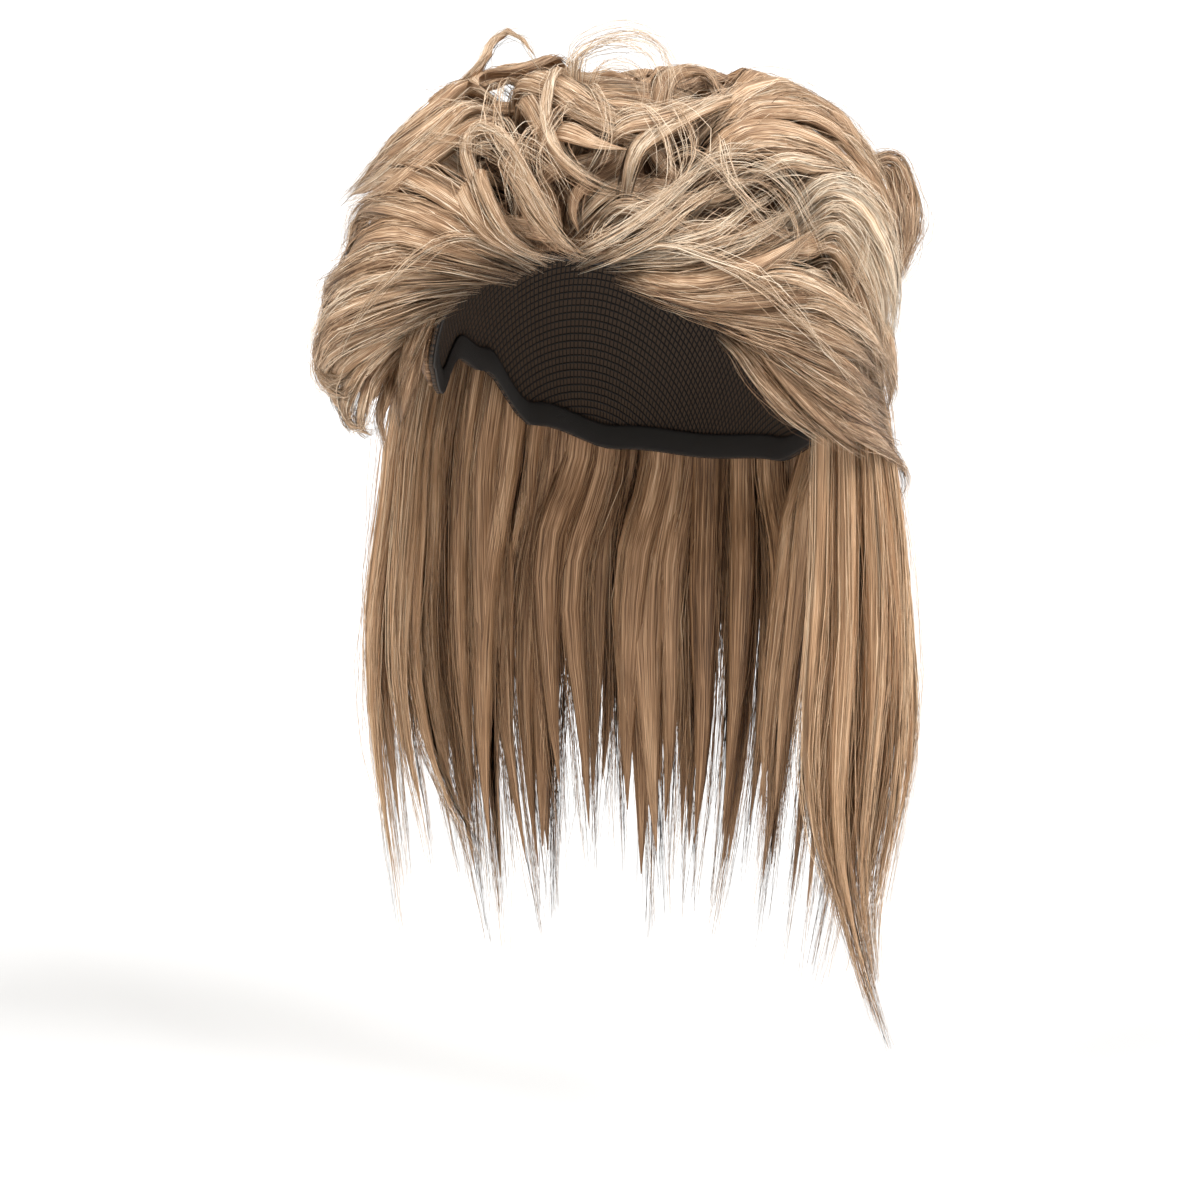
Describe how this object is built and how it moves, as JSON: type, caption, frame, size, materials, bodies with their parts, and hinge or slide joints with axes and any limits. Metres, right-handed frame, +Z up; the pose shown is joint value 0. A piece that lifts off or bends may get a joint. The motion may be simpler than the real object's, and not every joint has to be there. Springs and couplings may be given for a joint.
{
  "type": "mullet wig",
  "caption": "Mullet wig: a fitted net cap with waved hair over the top, front and sides and long straight hair hanging behind the ears and down the back.",
  "frame": {"origin": "inside of the cap's crown, where it rests on the top of the head", "axes": "+X towards the wearer's left, -Y out of the wearer's forehead, +Z up along the head"},
  "size_m": [0.2326, 0.2383, 0.4294],
  "materials": {
    "net": "matt black wig net with sewn rows of weft",
    "elastic": "matt black woven elastic",
    "waved_hair": "dark blonde synthetic hair with pale streaks, satin",
    "straight_hair": "dark blonde synthetic hair, satin"
  },
  "bodies": {
    "root": {"cap": "net", "edge_band": "elastic", "crown_hair": "waved_hair", "fringe_left": "waved_hair", "fringe_right": "waved_hair", "side_hair_left": "waved_hair", "side_hair_right": "waved_hair", "back_hair": "waved_hair", "tail_left": "straight_hair", "tail_back_left": "straight_hair", "tail_back_right": "straight_hair", "tail_right": "straight_hair"}
  },
  "joints": []
}
